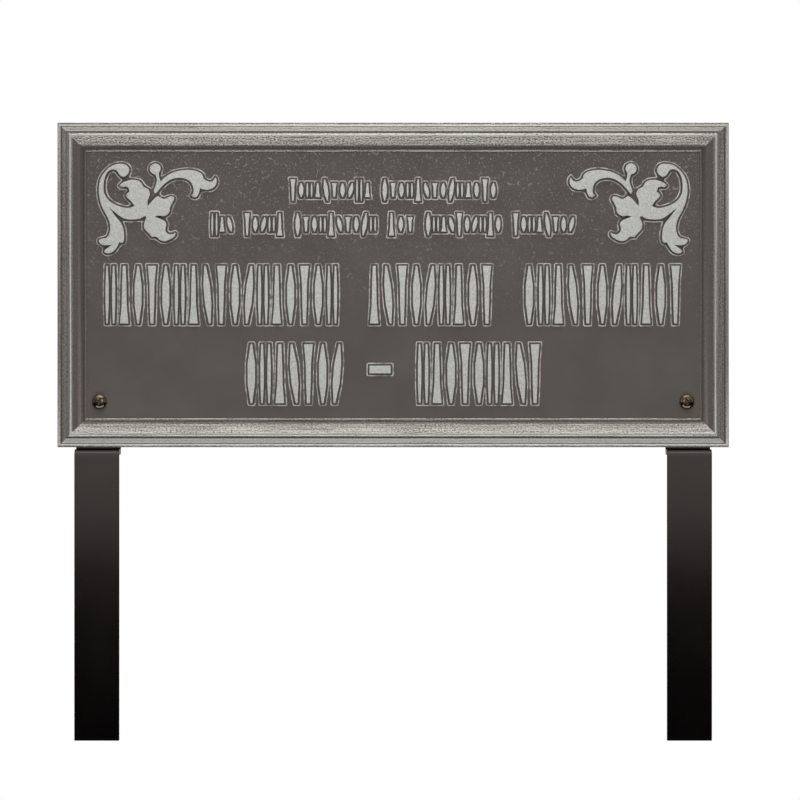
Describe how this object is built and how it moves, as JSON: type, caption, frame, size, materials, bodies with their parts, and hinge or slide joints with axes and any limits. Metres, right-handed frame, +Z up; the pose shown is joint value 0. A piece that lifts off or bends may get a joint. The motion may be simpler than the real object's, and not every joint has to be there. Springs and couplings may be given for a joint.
{
  "type": "memorial plaque",
  "caption": "Wide cast metal lawn plaque with a moulded border, raised strokes and leaf scrolls, screwed to bent flat bar stakes.",
  "frame": {"origin": "midway between the stakes' flat lower ends, halfway through the bars, at the level of those ends", "axes": "+X to the viewer's right along the plaque's width, -Y out of the plaque's front, +Z up"},
  "size_m": [0.381, 0.0227, 0.3505],
  "materials": {
    "plaque_casting": "sand cast, dark pewter enamel on the ground, raised faces ground bright, border wiped and brushed",
    "stake_paint": "semi-gloss black enamel on flat steel bar",
    "screw_steel": "bronze tinted plating",
    "nut_steel": "dull zinc plating"
  },
  "bodies": {
    "root": {"plaque": "plaque_casting", "stake_left": "stake_paint", "stake_right": "stake_paint", "screw_left": "screw_steel", "screw_right": "screw_steel", "nut_left": "nut_steel", "nut_right": "nut_steel"}
  },
  "joints": []
}
